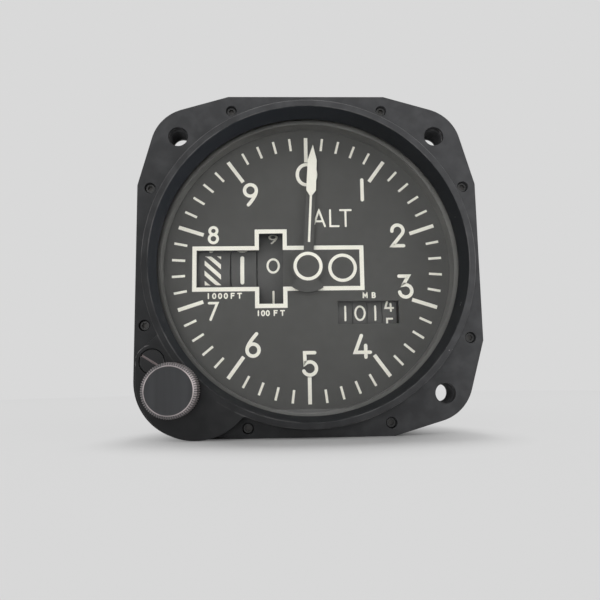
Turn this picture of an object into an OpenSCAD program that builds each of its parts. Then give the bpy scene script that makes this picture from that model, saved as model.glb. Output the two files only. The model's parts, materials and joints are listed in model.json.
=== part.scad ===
// Aircraft altimeter with a pointer, drum counters and a pressure setting window.
// Frame: x to the right, y into the panel, z up, origin on the front face of the flange.

/* [Flange] */
// Distance between mounting holes along each side
hole_pitch = 62.87; // [60:0.01:68]
// Diameter of the mounting holes
hole_d = 4.75; // [3.5:0.05:5.5]
// Flange beyond the mounting holes at the left and right
side_margin = 9.615; // [8.5:0.005:12]
// Flange beyond the mounting holes at the top
top_margin = 10.25; // [9:0.005:12]
// Flange beyond the square of the mounting holes at the bottom
bottom_margin = 9.615; // [8.5:0.005:12]
// Mounting hole to the near end of each straight edge
flat_inset = 12.235; // [10:0.005:16]
// Radius of the three ears
ear_r = 10.4; // [9.5:0.1:11]
// Middle of an ear's arc from the edges beside it
ear_set = 13.3; // [12.5:0.1:14]
// Corner radius under the setting knob
knob_corner_r = 13.5; // [12.5:0.1:15]
// Thickness of the bezel plate
plate_t = 5; // [4.5:0.1:6]
// Thickness of the case flange behind the plate
case_flange_t = 3.5; // [3:0.1:5]

/* [Bezel] */
// Gap from the bezel ring to the middle of a mounting hole
hole_clear = 5.556; // [4.5:0.002:7]
// Height of the ring and knob boss in front of the plate
ring_h = 4.3; // [3:0.1:6]
// Thickness of the ring at its front edge
ring_wall = 1.6; // [1:0.1:2]
// Width of the sloping lip in front of the glass
lip_w = 1; // [0.8:0.1:1.6]
// Depth of the lip behind the plate face
lip_y = 1; // [0.5:0.1:1.5]
// Straight edge of the lip
lip_edge = 0.5; // [0.3:0.1:0.8]
// Chamfer on the front edges of the ring
ring_chamfer = 0.15; // [0.05:0.05:0.5]
// Radius of the knob boss
boss_r = 13.5; // [12.5:0.1:14]
// Boss inside the flange at the left
boss_side = 1.45; // [0.5:0.05:2.5]
// Boss inside the flange at the bottom
boss_low = 0.1; // [0.05:0.05:1]
// Fillet between the boss and the ring
boss_fillet = 1; // [0.5:0.1:3]
// Plate screws from the mounting holes along the edge
screw_along = 12.935; // [11:0.005:15]
// Plate screws next to the boss from the mounting holes along the edge
screw_along_boss = 16.735; // [15:0.005:18]
// Plate screws beyond the mounting holes
screw_out = 6.565; // [6:0.005:7.5]
// Further offset of the two plate screws next to the boss
screw_out_boss = 0.75; // [0:0.05:1]
// Radius of the plate screw heads
screw_head_r = 1.05; // [1:0.05:1.2]
// Gap round the plate screw heads
screw_gap = 0.25; // [0.1:0.05:0.3]
// Thickness of the plate screw heads
screw_head_t = 1.3; // [1:0.05:1.8]
// Depth of the plate screw heads below the plate face
screw_deep = 0.7; // [0.2:0.05:1]
// Radius of the plate screw shanks
shank_r = 0.85; // [0.7:0.05:0.9]
// Radius of the plate screws' hexagon sockets over their corners
socket_r = 0.7; // [0.5:0.05:0.75]
// Depth of the hexagon sockets
socket_deep = 0.8; // [0.5:0.05:0.9]

/* [Glass] */
// Thickness of the seal in front of the glass
seal_t = 0.4; // [0.2:0.05:0.8]
// Thickness of the glass
glass_t = 2.4; // [1.8:0.1:3]
// Edge of the glass inside the outside of the ring
glass_inset = 1; // [0.8:0.05:1.4]
// Width of the ring that holds the glass
retainer_w = 1.83; // [1.4:0.01:2.4]
// Depth of the ring that holds the glass
retainer_t = 3.8; // [3:0.1:5]

/* [Dial] */
// Thickness of the dial plate
dial_t = 1; // [0.6:0.1:1.5]
// Thickness of the printed marks
print_t = 0.05; // [0.03:0.01:0.1]
// Scale marks inside the ring that holds the glass
tick_inset = 2; // [1:0.1:3]
// Length of a short mark
tick_minor_l = 3.25; // [2.5:0.05:4]
// Width of a short mark
tick_minor_w = 0.6; // [0.4:0.05:0.9]
// Length of a long mark
tick_major_l = 6.5; // [5:0.1:8]
// Width of a long mark
tick_major_w = 0.92; // [0.7:0.05:1.4]
// Marks around the dial
tick_n = 50; // [50:50:100]
// Width of the printed frame line
frame_w = 1.05; // [0.8:0.05:1.2]
// Half height of the counter window
counter_half_h = 4.65; // [4.2:0.05:5]
// Half height of the hundreds window
column_half_h = 8.9; // [8:0.1:9.6]
// Right end of the printed frame inside its line
frame_right = 13.05; // [12.8:0.05:14]
// Middle of the printed zero to the right of the dial centre
zero_x = 8.73; // [8.2:0.01:9]
// Height of the middle of the counter window
win_z = -0.18; // [-0.5:0.01:0.5]
// Radius of the two printed zeros
zero_r = 3.6; // [3.2:0.05:3.8]
// Stroke of the two printed zeros
zero_w = 0.8; // [0.6:0.05:1]

/* [Pointer] */
// Distance from the glass to the pointer
pointer_gap = 2.1; // [1.6:0.1:2.3]
// Thickness of the pointer
pointer_t = 0.3; // [0.2:0.05:0.5]
// Angle of the pointer past the top mark
pointer_angle = 3.2; // [0:0.1:7]
// Tip of the pointer inside the outer ends of the marks
tip_inset = 2.37; // [1:0.01:4]
// Length of the lance
lance_l = 13.3; // [11:0.1:15]
// Length of the lance's point
point_l = 4.1; // [3:0.1:6]
// Length of the lance's shoulder
lance_foot = 1.3; // [0.5:0.1:2]
// Width of the lance
lance_w = 2.44; // [2:0.02:3]
// Width of the dark arm
arm_w = 2.5; // [2:0.05:3]
// Width of the line painted on the arm
line_w = 0.58; // [0.4:0.02:0.8]
// Start of the line painted on the arm
line_r = 6.1; // [5:0.1:8]
// Radius of the pointer hub
hub_r = 4.1; // [4:0.05:4.4]
// Radius of the counterweight behind the hub
tail_r = 6.5; // [6:0.1:7]
// Radius of the pointer shaft and the other shafts
shaft_r = 1; // [0.9:0.05:1.1]

/* [Counters] */
// Radius of the altitude drums
drum_r = 13.3; // [12.5:0.1:13.4]
// Left end of the ten thousands drum
drum_x0 = -28; // [-28.3:0.1:-27.8]
// Left end of the thousands drum
drum_x1 = -19.2; // [-19.6:0.1:-18.8]
// Left end of the hundreds drum
drum_x2 = -12.6; // [-12.9:0.1:-12.2]
// Right end of the hundreds drum
drum_x3 = -5.9; // [-6.1:0.05:-5.8]
// Gap between drums and between drums and dial
drum_gap = 0.3; // [0.2:0.05:0.4]
// Distance from the back of the dial to the drums
drum_back = 1; // [0.6:0.1:1.5]
// Radius of the setting drums
baro_r = 8.6; // [8:0.1:8.8]
// Height of the setting window centre
baro_z = -11.45; // [-11.8:0.05:-11.2]
// Left end of the setting window
baro_x0 = 7.3; // [7.2:0.05:7.6]
// Length of the setting window
baro_l = 15.25; // [14.8:0.05:15.6]
// Height of the setting window
baro_h = 5.7; // [5:0.1:6.2]
// Rim thickness of the drums
drum_rim = 0.9; // [0.6:0.1:1.2]
// Web thickness of the drums
drum_web = 1; // [0.6:0.1:1.6]
// Wall of the drum and gear hubs
hub_wall = 1.4; // [1:0.1:1.8]
// Half height of the frame of the altitude drums
counter_cheek = 4; // [3:0.1:5]
// Half height of the frames of the setting drums and the cross shaft
setting_cheek = 3; // [2.5:0.1:3.5]
// Thickness of the larger frames' cheeks
cheek_t = 1; // [0.8:0.1:1.2]
// Gap between the setting drums
baro_gap = 0.15; // [0.1:0.01:0.25]
// Room between the altitude drums and the main plate
drum_room = 2.3; // [1.6:0.1:5]

/* [Knob] */
// Knob axis to the left of the middle of the boss end
knob_dx = 5.1; // [4.5:0.05:5.6]
// Knob axis below the middle of the boss end
knob_dz = 2.3; // [1.8:0.05:3]
// Radius of the knob over its knurl
knob_r = 6.2; // [5.8:0.05:6.6]
// Radius of the knob face
knob_face_r = 5.35; // [5:0.05:5.6]
// Height of the knob face in front of the plate
knob_top = 10; // [9:0.1:13]
// Gap between the knob and its boss
knob_gap = 0.5; // [0.3:0.05:0.8]
// Teeth of the knurl
knurl_n = 72; // [60:1:84]
// Depth of the knurl
knurl_d = 0.3; // [0.2:0.01:0.35]
// Height of the chamfer round the knob face
knob_chamfer = 0.7; // [0.4:0.05:1]
// Thickness of the knob in front of its shaft
knob_web = 1.6; // [1:0.1:2.5]
// Radius of the knob shaft
knob_shaft_r = 1.5; // [1.3:0.05:1.7]
// Radius of the slotted lock screw
lock_r = 2.7; // [2.4:0.05:2.9]
// Gap round the lock screw
lock_gap = 0.2; // [0.1:0.05:0.3]
// Wall of the boss round the lock screw
lock_wall = 0.8; // [0.5:0.05:1.2]
// Lock screw to the left of the knob axis
lock_dx = 4.8; // [4.5:0.05:5]
// Lock screw above the knob axis
lock_dz = 6.5; // [6.2:0.05:6.8]
// Thickness of the lock screw head
lock_t = 1.45; // [1.2:0.05:2]
// Width of the lock screw's slot
lock_slot_w = 0.4; // [0.3:0.05:0.8]
// Angle of the lock screw's slot
lock_turn = 32; // [0:1:180]

/* [Movement] */
// Thickness of the movement plates
mplate_t = 2.5; // [2:0.1:3]
// Distance between the movement plates
bay_l = 27; // [26:0.5:30]
// Module of the pointer gear train
train_m = 0.4; // [0.39:0.005:0.41]
// Length of the rocking arm
arm_l = 6; // [5.5:0.1:6.5]
// Radius of the pillars that carry the dial
dial_pillar_r = 1.8; // [1.5:0.1:2]
// Radius of the pillars between the movement plates
frame_pillar_r = 2; // [1.6:0.1:2.2]
// Rim of the sector gear
sector_rim = 4; // [3:0.1:5]
// Radius of the sector's hub
sector_hub_r = 4; // [3:0.1:4.5]
// Radius of the inner end of the sector's opening
sector_hole_r = 9; // [7:0.1:11]
// Radius of the pressure capsules
capsule_r = 19; // [16:0.1:19.5]
// Height of one pressure capsule
capsule_h = 5.5; // [4.5:0.1:5.8]
// Radius of the bosses between the capsules
capsule_boss_r = 3; // [2:0.1:4]
// Half width of the yoke over the rocking pin
yoke_half_w = 4.2; // [4:0.1:4.6]
// Half height of the yoke
yoke_half_h = 2.2; // [2:0.1:2.6]
// Wall at the ends of the yoke
yoke_wall = 1; // [0.6:0.1:1.2]
// Half width of the shelf under the capsules
bridge_half_w = 8; // [6:0.1:12]
// Thickness of the shelf under the capsules
bridge_t = 2; // [1.5:0.1:3]
// Shelf beyond the axis of the capsules
bridge_reach = 10; // [5:0.5:15]
// Height of the shelf's upright
bridge_rise = 9; // [6:0.5:12]

/* [Case] */
// Wall of the case in front of its shoulder
case_wall = 1.8; // [1.5:0.1:2.5]
// Step from the glass pocket to the bore of the case
bore_step = 0.3; // [0.2:0.05:0.4]
// Shoulder that the main plate rests on
shoulder_w = 1.2; // [0.8:0.1:1.6]
// Room behind the capsules
capsule_room = 7.5; // [5:0.5:20]
// Thickness of the rear cover
cover_t = 3; // [2.5:0.1:4]
// Thickness of the seal under the rear cover
rear_seal_t = 0.5; // [0.3:0.05:1]
// Radius of the cover screw shanks
cover_shank_r = 0.9; // [0.7:0.05:1]
// Radius of the cover screw heads
cover_head_r = 1.4; // [1.2:0.05:1.5]
// Thickness of the cover screw heads
cover_head_t = 1.2; // [0.8:0.1:1.6]
// Width of the slots in the cover screws
slot_w = 0.4; // [0.3:0.05:0.6]
// Length of the cover screws in the case
cover_screw_l = 6; // [4:0.5:7]
// Depth of the cover screw holes in the case
cover_hole_l = 8; // [7:0.5:10]
// Radius of the connector shell
plug_r = 9; // [8:0.1:9.5]
// Length of the connector shell
plug_l = 14; // [10:0.5:18]
// Wall of the connector shell
plug_wall = 1.4; // [1:0.1:2]
// Flange of the connector beyond its shell
plug_lip = 2; // [1.5:0.1:3]
// Thickness of the connector's flange
plug_flange_t = 2; // [1.5:0.1:3]
// Corner radius of the connector's flange, and its screws from the edges
plug_corner_r = 2.3; // [2:0.1:2.5]
// Radius of the three lugs on the connector shell
lug_r = 0.8; // [0.5:0.05:1]
// Height of the lugs
lug_h = 0.8; // [0.5:0.05:1]
// Lugs from the rim of the shell
lug_inset = 4; // [3:0.5:6]
// Thickness of the connector's insert
insert_t = 5; // [3:0.5:7]
// Radius of the circle of pins
pin_circle_r = 4.5; // [3:0.1:5.5]
// Radius of a connector pin
plug_pin_r = 0.5; // [0.4:0.05:0.7]
// Pins inside the rim of the shell
pin_inset = 2; // [1:0.5:4]
// Depth of the connector below the case axis
plug_drop = 16; // [14:0.5:17]
// Bore of the static pressure fitting
port_d = 6; // [4:0.1:7]
// Height of the static fitting above the case axis
port_rise = 18; // [15:0.5:19]
// Length of the static fitting
port_l = 12; // [10:0.5:16]
// Length of the static fitting's hexagon
port_hex_l = 8; // [5:0.5:9]
// Wall of the static fitting
port_wall = 2.2; // [1.5:0.1:3]
// Radius of the static fitting's hexagon over its corners
port_hex_r = 8.5; // [7.5:0.1:9]

/* [Hidden] */
$fn = 96;
eps = 0.01;
run = 0.05;
fit = 0.1;
slack = 0.3;
// Depth by which a side or an arc runs into the circle it meets
tuck = 0.004;
over = 4;
hole = hole_pitch / 2;
half_w = hole + side_margin;
half_h = hole + top_margin;
low_h = hole + bottom_margin;
flat_half = hole - flat_inset;
screw_a = hole - screw_along;
screw_a_boss = hole - screw_along_boss;
screw_b = hole + screw_out;
ring_r = hole * sqrt(2) - hole_clear;
ring_in_r = ring_r - ring_wall;
lip_r = ring_in_r - lip_w;
glass_r = ring_r - glass_inset;
bore_r = glass_r - bore_step;
rear_bore_r = bore_r - shoulder_w;
case_r = bore_r + case_wall;
cover_screw_r = (case_r + rear_bore_r) / 2;
retainer_r = bore_r - retainer_w;
tick_r = retainer_r - tick_inset;
pointer_l = tick_r - tip_inset;
lance_r = pointer_l - lance_l;
glass_y = lip_y + seal_t;
retainer_y = glass_y + glass_t;
dial_y = retainer_y + retainer_t;
dial_back = dial_y + dial_t;
dial_r = bore_r - 2 * fit;
flange_back = plate_t + case_flange_t;
pointer_y = retainer_y + pointer_gap;
drum_y = dial_back + drum_back + drum_r;
baro_y = dial_back + drum_back + baro_r;
baro_pitch = (baro_l - baro_gap - fit) / 4;
main_y = drum_y + drum_r + drum_room;
main_back = main_y + mplate_t;
rear_y = main_back + bay_l;
rear_back = rear_y + mplate_t;
// Window edges
win_x0 = drum_x0 + 0.35;
win_x1 = drum_x2 + 0.45;
win_x2 = drum_x3 - 0.3;
// Teeth
mitre_n = 14;
mitre_m = 0.5;
mitre_r = mitre_n * mitre_m / 2;
mitre_in = 2.2;
pinion_n = 12;
wheel_n = 72;
sector_n = 120;
knob_n = 25;
cross_n = 26;
drum_n = 20;
// Setting train
boss_at = [boss_side + boss_r - half_w, boss_low + boss_r - low_h];
knob_at = boss_at - [knob_dx, knob_dz];
diag = norm(knob_at);
knob_dir = atan2(-knob_at[1], -knob_at[0]);
knob_m = 0.45;
idler_at = knob_at + knob_n * knob_m * [cos(knob_dir), sin(knob_dir)];
cross_m = 2 * (baro_z - idler_at[1]) / (cross_n + drum_n);
setting_y = dial_back + 0.8;
setting_t = 1.8;
cross_x = baro_x0 - 2.7;
cross_t = 1.4;
pocket_r = 7;
seal_w = 1.5;
seal_l = 3;
pocket_y = setting_y + setting_t + 0.9;
// Pointer train
mesh_c = train_m * (pinion_n + wheel_n) / 2;
first_dir = 60;
second_dir = 170;
first_at = mesh_c * [cos(first_dir), sin(first_dir)];
second_at = first_at + mesh_c * [cos(second_dir), sin(second_dir)];
rock_c = train_m * (pinion_n + sector_n) / 2;
rock_at = second_at - [0, rock_c];
first_y = main_back + 2.5;
second_y = first_y + 9;
third_y = second_y + 8;
wheel_t = 1.4;
pinion_t = 3;
pin_phase = first_dir;
wheel_phase = mate(pin_phase, first_dir, pinion_n, wheel_n);
second_phase = mate(second_dir, second_dir, pinion_n, wheel_n);
sector_phase = mate(-90, -90, pinion_n, sector_n);
// Capsules
capsule_y = rear_back + capsule_r + 2;
case_end = capsule_y + capsule_r + capsule_room;
cover_y = case_end + rear_seal_t;
cover_back = cover_y + cover_t;
arm_rest = -23.5;
yoke_pin = rock_at + arm_l * [cos(arm_rest), sin(arm_rest)];
capsule_x = rock_at[0] + arm_l * 0.95;
capsule_top = yoke_pin[1] - 4;
shelf_z = capsule_top - 2 * capsule_h;
pin_r = 0.8;
// Places of screws and pillars
plate_screws = [
  [screw_a, screw_b], [-screw_a, screw_b], [screw_b, screw_a], [-screw_b, screw_a],
  [screw_b, -screw_a], [screw_a, -screw_b],
  [-screw_b - screw_out_boss, -screw_a_boss], [-screw_a_boss, -screw_b - screw_out_boss]
];
holes = [[-hole, hole], [hole, hole], [hole, -hole]];
lock_at = knob_at + [-lock_dx, lock_dz];
dial_pillar_at = bore_r - dial_pillar_r - 2.3;
dial_pillar_dirs = [50, 130, 255, 300, 350];
frame_pillar_at = rear_bore_r - frame_pillar_r - 1.4;
frame_pillar_dirs = [20, 160, 210, 300];
cover_screw_dirs = [30, 90, 150, 210, 270, 330];
port_at = [0, port_rise];
plug_at = [0, -plug_drop];
plug_half = plug_r + plug_lip;
plug_screw = plug_half - plug_corner_r;
lug_dirs = [90, 210, 330];

// Phase of gear B that meshes with gear A, with B in direction d from A
function mate(phase, d, na, nb) = d + 180 - (phase - d) * na / nb + 180 / nb;

// End of the side from a point to a circle it meets at a tangent
function tangent(p, c, r, side) =
  let (d = norm(p - c), a = atan2(p[1] - c[1], p[0] - c[0]) + side * acos(r / d))
  c + (r - tuck) * [cos(a), sin(a)];

// One straight-sided gear tooth
function tooth(n, m, a) =
  let (r = n * m / 2, ro = r - 1.2 * m, ri = r + 0.8 * m, k = m * 180 / PI)
  [
    ro * [cos(a - 1.05 * k / ro), sin(a - 1.05 * k / ro)],
    ri * [cos(a - 0.34 * k / ri), sin(a - 0.34 * k / ri)],
    ri * [cos(a + 0.34 * k / ri), sin(a + 0.34 * k / ri)],
    ro * [cos(a + 1.05 * k / ro), sin(a + 1.05 * k / ro)]
  ];

module gear2d(n, m, phase) {
  polygon([for (i = [0:n - 1]) each tooth(n, m, phase + i * 360 / n)]);
}

// Flat shape in x and z between two depths
module slab(y0, y1) {
  translate([0, y1, 0]) rotate([90, 0, 0]) linear_extrude(height = y1 - y0) children();
}

// Shape of revolution about the dial axis
module turned() {
  rotate([-90, 0, 0]) rotate_extrude() children();
}

module rod_y(at, r, y0, y1) {
  translate([at[0], y0, at[1]]) rotate([-90, 0, 0]) cylinder(r = r, h = y1 - y0);
}

module rod_x(y, z, r, x0, x1) {
  translate([x0, y, z]) rotate([0, 90, 0]) cylinder(r = r, h = x1 - x0);
}

module block(x0, x1, y0, y1, z0, z1) {
  translate([x0, y0, z0]) cube([x1 - x0, y1 - y0, z1 - z0]);
}

module at_dirs(dirs, r) {
  for (a = dirs) translate([r * cos(a), 0, r * sin(a)]) children();
}

// One corner of the flange, from its edge at height h round the ear to its side
function corner(h) =
  let (edge = [flat_half, h], side = [half_w, flat_half], ear = [half_w - ear_set, h - ear_set])
  [edge, tangent(edge, ear, ear_r, -1), tangent(side, ear, ear_r, 1), side];

function mirrored(points, x, z) =
  [for (i = [len(points) - 1 : -1 : 0]) [x * points[i][0], z * points[i][1]]];

module flange2d() {
  ear_x = half_w - ear_set;
  polygon([
    each corner(half_h), each mirrored(corner(low_h), 1, -1),
    [-half_w + knob_corner_r, -low_h], [-half_w, -low_h + knob_corner_r],
    each mirrored(corner(half_h), -1, 1)
  ]);
  for (p = [[ear_x, half_h - ear_set], [-ear_x, half_h - ear_set], [ear_x, ear_set - low_h]])
    translate(p) circle(ear_r);
  translate([-half_w + knob_corner_r, -low_h + knob_corner_r]) circle(knob_corner_r);
}

module holes2d() {
  for (p = holes) translate(p) circle(d = hole_d);
}

// Round boss drawn out round the lock screw, with a fillet to the ring below the knob
module boss2d() {
  e = norm(boss_at);
  far = ring_r + boss_fillet - tuck;
  near = boss_r + boss_fillet - tuck;
  u = (far * far - near * near + e * e) / (2 * e);
  c = [u, sqrt(far * far - u * u)];
  ring_t = c * ring_r / far;
  end_t = [e, 0] + (c - [e, 0]) * boss_r / near;
  rim = lock_r + lock_gap + lock_wall;
  to_lock = lock_at - boss_at;
  swing = acos((boss_r - rim) / norm(to_lock));
  dirs = [for (s = [-1, 1]) let (a = atan2(to_lock[1], to_lock[0]) + s * swing) [cos(a), sin(a)]];
  translate(boss_at) circle(boss_r);
  translate(lock_at) circle(rim);
  polygon([
    boss_at, boss_at + (boss_r - tuck) * dirs[0], lock_at + (rim - tuck) * dirs[0],
    lock_at + (rim - tuck) * dirs[1], boss_at + (boss_r - tuck) * dirs[1]
  ]);
  rotate(atan2(boss_at[1], boss_at[0])) difference() {
    polygon([[lip_r - over, 0], [lip_r - over, ring_t[1] - over], ring_t, c, end_t, [e, 0]]);
    translate(c) circle(boss_fillet);
  }
}

module bezel() {
  color("dimgray") difference() {
    union() {
      slab(0, plate_t) flange2d();
      slab(-ring_h, eps) boss2d();
      turned() polygon([
        [lip_r - over, eps], [lip_r - over, -ring_h], [ring_r - ring_chamfer, -ring_h],
        [ring_r, -ring_h + ring_chamfer], [ring_r, eps]
      ]);
    }
    turned() polygon([
      [0, -ring_h - 1], [ring_in_r + ring_chamfer, -ring_h - 1],
      [ring_in_r + ring_chamfer, -ring_h], [ring_in_r, -ring_h + ring_chamfer],
      [lip_r, lip_y - lip_edge], [lip_r, lip_y], [glass_r + fit, lip_y],
      [glass_r + fit, plate_t + 1], [0, plate_t + 1]
    ]);
    slab(-1, plate_t + 1) holes2d();
    for (p = plate_screws) {
      rod_y(p, screw_head_r + screw_gap, -1, screw_deep + screw_head_t);
      rod_y(p, shank_r + run, 0, plate_t + 1);
    }
    rod_y(lock_at, lock_r + lock_gap, -ring_h - 1, -ring_h + run + lock_t);
    rod_y(lock_at, lock_r / 2, -ring_h, -ring_h + 2 * lock_t + 1.6);
    rod_y(knob_at, knob_shaft_r + run, -ring_h - 1, plate_t + 1);
    rod_y(knob_at, knob_shaft_r + seal_w, plate_t - seal_l, plate_t + 1);
  }
}

module bezel_screws() {
  color("dimgray") for (p = plate_screws) difference() {
    union() {
      rod_y(p, screw_head_r, screw_deep, screw_deep + screw_head_t);
      rod_y(p, shank_r, screw_deep + screw_head_t - eps, flange_back - 0.6);
    }
    translate([p[0], 0, p[1]]) slab(0, screw_deep + socket_deep) circle(socket_r, $fn = 6);
  }
}

module lock_screw() {
  color("gray") difference() {
    union() {
      rod_y(lock_at, lock_r, -ring_h + run, -ring_h + run + lock_t);
      rod_y(lock_at, lock_r / 2, -ring_h + lock_t, -ring_h + 2 * lock_t + 1.5);
    }
    translate([lock_at[0], -ring_h, lock_at[1]]) rotate([0, lock_turn, 0])
      block(-lock_r - 1, lock_r + 1, -1, lock_t / 2, -lock_slot_w / 2, lock_slot_w / 2);
  }
}

module glass_seal() {
  color("black") turned() polygon([
    [lip_r + fit, lip_y], [glass_r, lip_y], [glass_r, glass_y], [lip_r + fit, glass_y]
  ]);
}

module window_glass() {
  color("lightcyan", 0.3) rod_y([0, 0], glass_r, glass_y, retainer_y);
}

module glass_retainer() {
  color("black") turned() polygon([
    [retainer_r, retainer_y], [bore_r - fit, retainer_y], [bore_r - fit, dial_y],
    [retainer_r, dial_y]
  ]);
}

module window2d() {
  translate([win_x0, win_z - counter_half_h]) square([win_x2 - win_x0, 2 * counter_half_h]);
  translate([win_x1, win_z - column_half_h]) square([win_x2 - win_x1, 2 * column_half_h]);
}

module frame2d(g) {
  translate([win_x0 - g, win_z - counter_half_h - g])
    square([frame_right - win_x0 + 2 * g, 2 * (counter_half_h + g)]);
  translate([win_x1 - g, win_z - column_half_h - g])
    square([win_x2 - win_x1 + 2 * g, 2 * (column_half_h + g)]);
}

module dial() {
  color("slategray") slab(dial_y, dial_back) difference() {
    circle(dial_r);
    circle(shaft_r + 0.6);
    window2d();
    translate([baro_x0, baro_z - baro_h / 2]) square([baro_l, baro_h]);
  }
}

module dial_markings() {
  color("ivory") slab(dial_y - print_t, dial_y) {
    for (i = [0:tick_n - 1]) rotate(i * 360 / tick_n) {
      big = i % 5 == 0;
      l = big ? tick_major_l : tick_minor_l;
      w = big ? tick_major_w : tick_minor_w;
      translate([-w / 2, tick_r - l]) square([w, l]);
    }
    difference() {
      frame2d(frame_w);
      frame2d(0);
    }
    translate([zero_x, win_z]) difference() {
      circle(zero_r);
      circle(zero_r - zero_w);
    }
  }
}

module lance2d() {
  w = lance_w / 2;
  polygon([
    [0, pointer_l], [w * 0.94, pointer_l - point_l], [w, lance_r + lance_foot],
    [line_w * 0.57, lance_r], [-line_w * 0.57, lance_r], [-w, lance_r + lance_foot],
    [-w * 0.94, pointer_l - point_l]
  ]);
}

module pointer() {
  color("dimgray") {
    slab(pointer_y, pointer_y + pointer_t) rotate(-pointer_angle) {
      circle(hub_r);
      translate([-arm_w / 2, 0]) square([arm_w, lance_r + 0.2]);
      lance2d();
      intersection() {
        circle(tail_r);
        polygon(tail_r * [[0, 0], [-1.2, -1.5], [1.2, -1.5]]);
      }
    }
    difference() {
      rod_y([0, 0], shaft_r + 0.8, pointer_y + pointer_t - eps, dial_y - slack);
      rod_y([0, 0], shaft_r, pointer_y + pointer_t, dial_y);
    }
  }
}

module pointer_paint() {
  color("ivory") slab(pointer_y - print_t, pointer_y) rotate(-pointer_angle) {
    lance2d();
    translate([-line_w / 2, line_r]) square([line_w, lance_r - line_r + 0.1]);
    difference() {
      circle(zero_r);
      circle(zero_r - zero_w);
    }
  }
}

module pointer_shaft() {
  color("silver") rod_y([0, 0], shaft_r, pointer_y + pointer_t, first_y + 4);
}

// Mitre gear with its large end at the base and its teeth closing on the apex
module mitre(phase) {
  taper = mitre_in / mitre_r;
  difference() {
    union() {
      linear_extrude(height = mitre_r - mitre_in, scale = taper) gear2d(mitre_n, mitre_m, phase);
      translate([0, 0, -0.8]) cylinder(r = mitre_r - 1.2, h = 0.8 + eps);
    }
    translate([0, 0, -2]) cylinder(r = shaft_r, h = mitre_r + 4);
  }
}

module pointer_bevel() {
  color("goldenrod") translate([0, drum_y - mitre_r, 0]) rotate([-90, 0, 0]) mitre(180);
}

module pointer_pinion() {
  color("goldenrod") slab(first_y - 0.8, first_y - 0.8 + pinion_t) difference() {
    gear2d(pinion_n, train_m, pin_phase);
    circle(shaft_r);
  }
}

module pointer_bush() {
  color("goldenrod") difference() {
    rod_y([0, 0], shaft_r + 1.6, drum_y + mitre_r + 0.6, main_y);
    rod_y([0, 0], shaft_r + run, drum_y, main_y + 1);
  }
}

// Drum of revolution about an x axis
module drum(y, z, r, x0, x1, bore) {
  mid = (x0 + x1) / 2;
  translate([0, y, z]) rotate([0, 90, 0]) rotate_extrude() {
    translate([bore, x0]) square([shaft_r + hub_wall - bore, x1 - x0]);
    translate([bore, mid - drum_web / 2]) square([r - bore - eps, drum_web]);
    translate([r - drum_rim, x0]) square([drum_rim, x1 - x0]);
  }
}

module hundreds_drum() {
  color("black") drum(drum_y, 0, drum_r, drum_x2, drum_x3, shaft_r);
}

module thousands_drum() {
  color("black") drum(drum_y, 0, drum_r, drum_x1, drum_x2 - drum_gap, shaft_r + run);
}

module ten_thousands_drum() {
  color("black") drum(drum_y, 0, drum_r, drum_x0, drum_x1 - drum_gap, shaft_r + run);
}

module drum_shaft() {
  color("silver") rod_x(drum_y, 0, shaft_r, drum_x0 - 2.7, -mitre_in - 0.1);
}

module drum_bevel() {
  color("goldenrod") translate([-mitre_r, drum_y, 0]) rotate([0, 90, 0])
    mitre(270 + 180 / mitre_n);
}

// Bracket with two cheeks that carry a shaft along x, standing on the main plate
module cheeks(y, z, h, xa, xb, t) {
  difference() {
    union() {
      block(xa - t, xa, y - setting_cheek, main_y, z - h, z + h);
      block(xb, xb + t, y - setting_cheek, main_y, z - h, z + h);
      block(xa - t, xb + t, main_y - 1.5 * cheek_t, main_y, z - h, z + h);
    }
    rod_x(y, z, shaft_r + run, xa - t - 1, xb + t + 1);
    rod_y([0, 0], shaft_r + 1.9, 0, main_y + 1);
  }
}

module counter_frame() {
  color("silver") cheeks(drum_y, 0, counter_cheek, drum_x0 - cheek_t, drum_x3 + drum_gap, cheek_t);
}

module baro_drum(i, bore) {
  x = baro_x0 + baro_gap + i * baro_pitch;
  color("black") drum(baro_y, baro_z, baro_r, x, x + baro_pitch - baro_gap, bore);
}

module baro_thousands_drum() {
  baro_drum(0, shaft_r + run);
}

module baro_hundreds_drum() {
  baro_drum(1, shaft_r + run);
}

module baro_tens_drum() {
  baro_drum(2, shaft_r + run);
}

module baro_units_drum() {
  baro_drum(3, shaft_r);
}

module baro_drum_shaft() {
  color("silver") rod_x(baro_y, baro_z, shaft_r, cross_x - 0.4, baro_x0 + baro_l + 1.6);
}

module baro_drum_gear() {
  color("goldenrod") translate([cross_x, baro_y, baro_z]) rotate([90, 0, 90])
    linear_extrude(height = cross_t) difference() {
      gear2d(drum_n, cross_m, 90 + 180 / drum_n);
      circle(shaft_r);
    }
}

module baro_frame() {
  color("silver") cheeks(baro_y, baro_z, setting_cheek,
    baro_x0 - baro_gap, baro_x0 + baro_l + 2 * baro_gap, cheek_t * 0.8);
}

module knurl2d(r) {
  polygon([
    for (i = [0:knurl_n - 1]) each [
      r * [cos(i * 360 / knurl_n), sin(i * 360 / knurl_n)],
      (r - knurl_d) * [cos((i + 0.5) * 360 / knurl_n), sin((i + 0.5) * 360 / knurl_n)]
    ]
  ]);
}

module baro_knob() {
  base = -ring_h - knob_gap;
  rim = knob_r + fit;
  rim_y = knob_chamfer * (rim - knob_face_r) / (knob_r - knob_face_r) - knob_top;
  color("dimgray") translate([knob_at[0], 0, knob_at[1]]) difference() {
    intersection() {
      slab(-knob_top, base) knurl2d(knob_r);
      turned() polygon([
        [0, -knob_top], [knob_face_r, -knob_top], [rim, rim_y], [rim, base], [0, base]
      ]);
    }
    rod_y([0, 0], knob_shaft_r, -knob_top + knob_web, 0);
  }
}

module knob_shaft() {
  color("silver") rod_y(knob_at, knob_shaft_r, -knob_top + knob_web, pocket_y + 1);
}

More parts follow.
